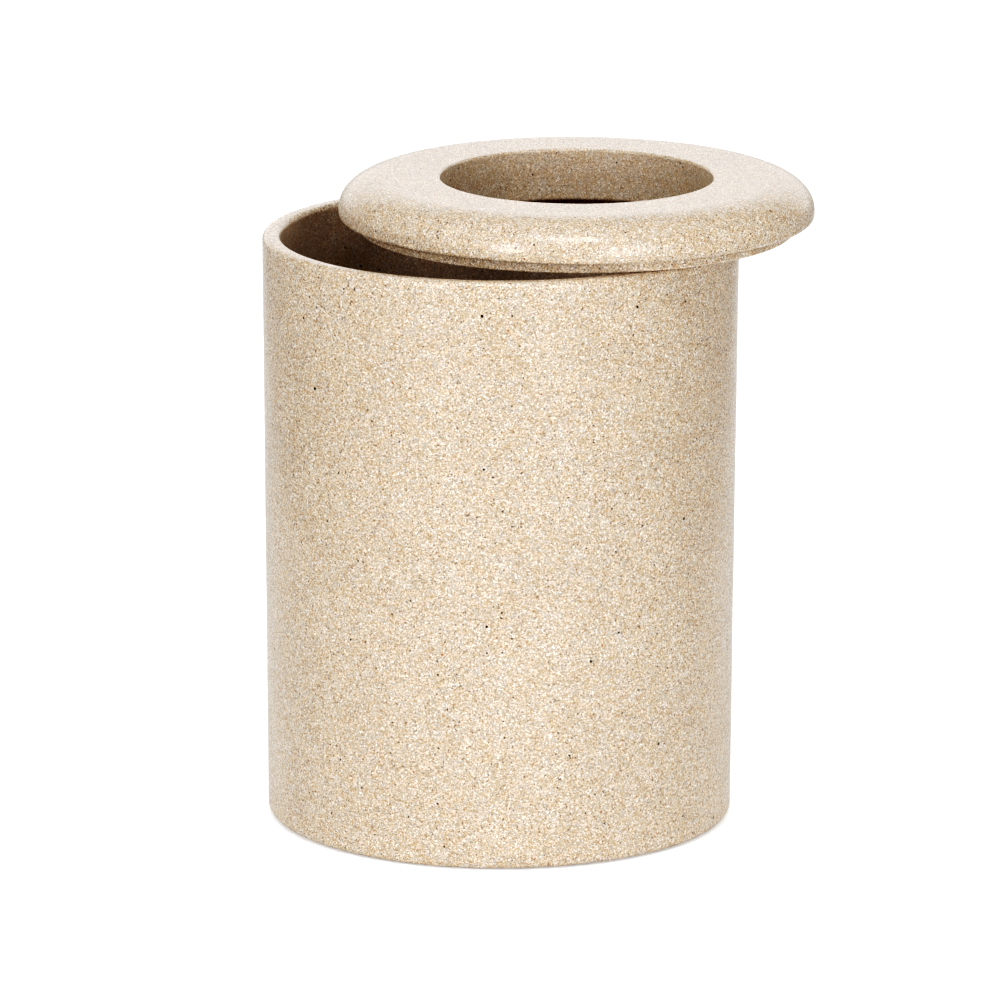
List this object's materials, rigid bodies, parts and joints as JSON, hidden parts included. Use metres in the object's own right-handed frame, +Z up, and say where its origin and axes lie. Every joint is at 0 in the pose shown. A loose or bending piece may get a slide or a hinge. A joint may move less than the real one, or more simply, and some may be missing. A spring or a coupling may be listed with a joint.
{
  "type": "ashtray bin",
  "caption": "Round cast stone-effect ashtray bin: a tall plain pot with a loose, round-edged ring lid pushed aside, a wide waste hole through the lid, and pads under the base.",
  "frame": {"origin": "on the pot's axis, on the surface that the bin stands on: the pads' lower faces are at z = 0, and the pot's flat underside is 0.6 mm above them", "axes": "+Z up along the pot's axis, +X to the right as seen from the front and roughly the way the lid has been pushed, +Y to the back"},
  "size_m": [0.2318, 0.2088, 0.2727],
  "materials": {
    "cast_stone": "sand-filled cast stone, fine beige grain with sparse dark specks, satin",
    "pad_rubber": "matt soft rubber"
  },
  "bodies": {
    "bin": {"pot": "cast_stone", "base_pad_1": "pad_rubber", "base_pad_2": "pad_rubber", "base_pad_3": "pad_rubber", "base_pad_4": "pad_rubber"},
    "lid": {"ring_lid": "cast_stone"}
  },
  "joints": [
    {"name": "lid_lift", "type": "slide", "parent": "bin", "child": "lid", "axis": [0, 0, 1], "range_m": [0, 0.055]}
  ]
}
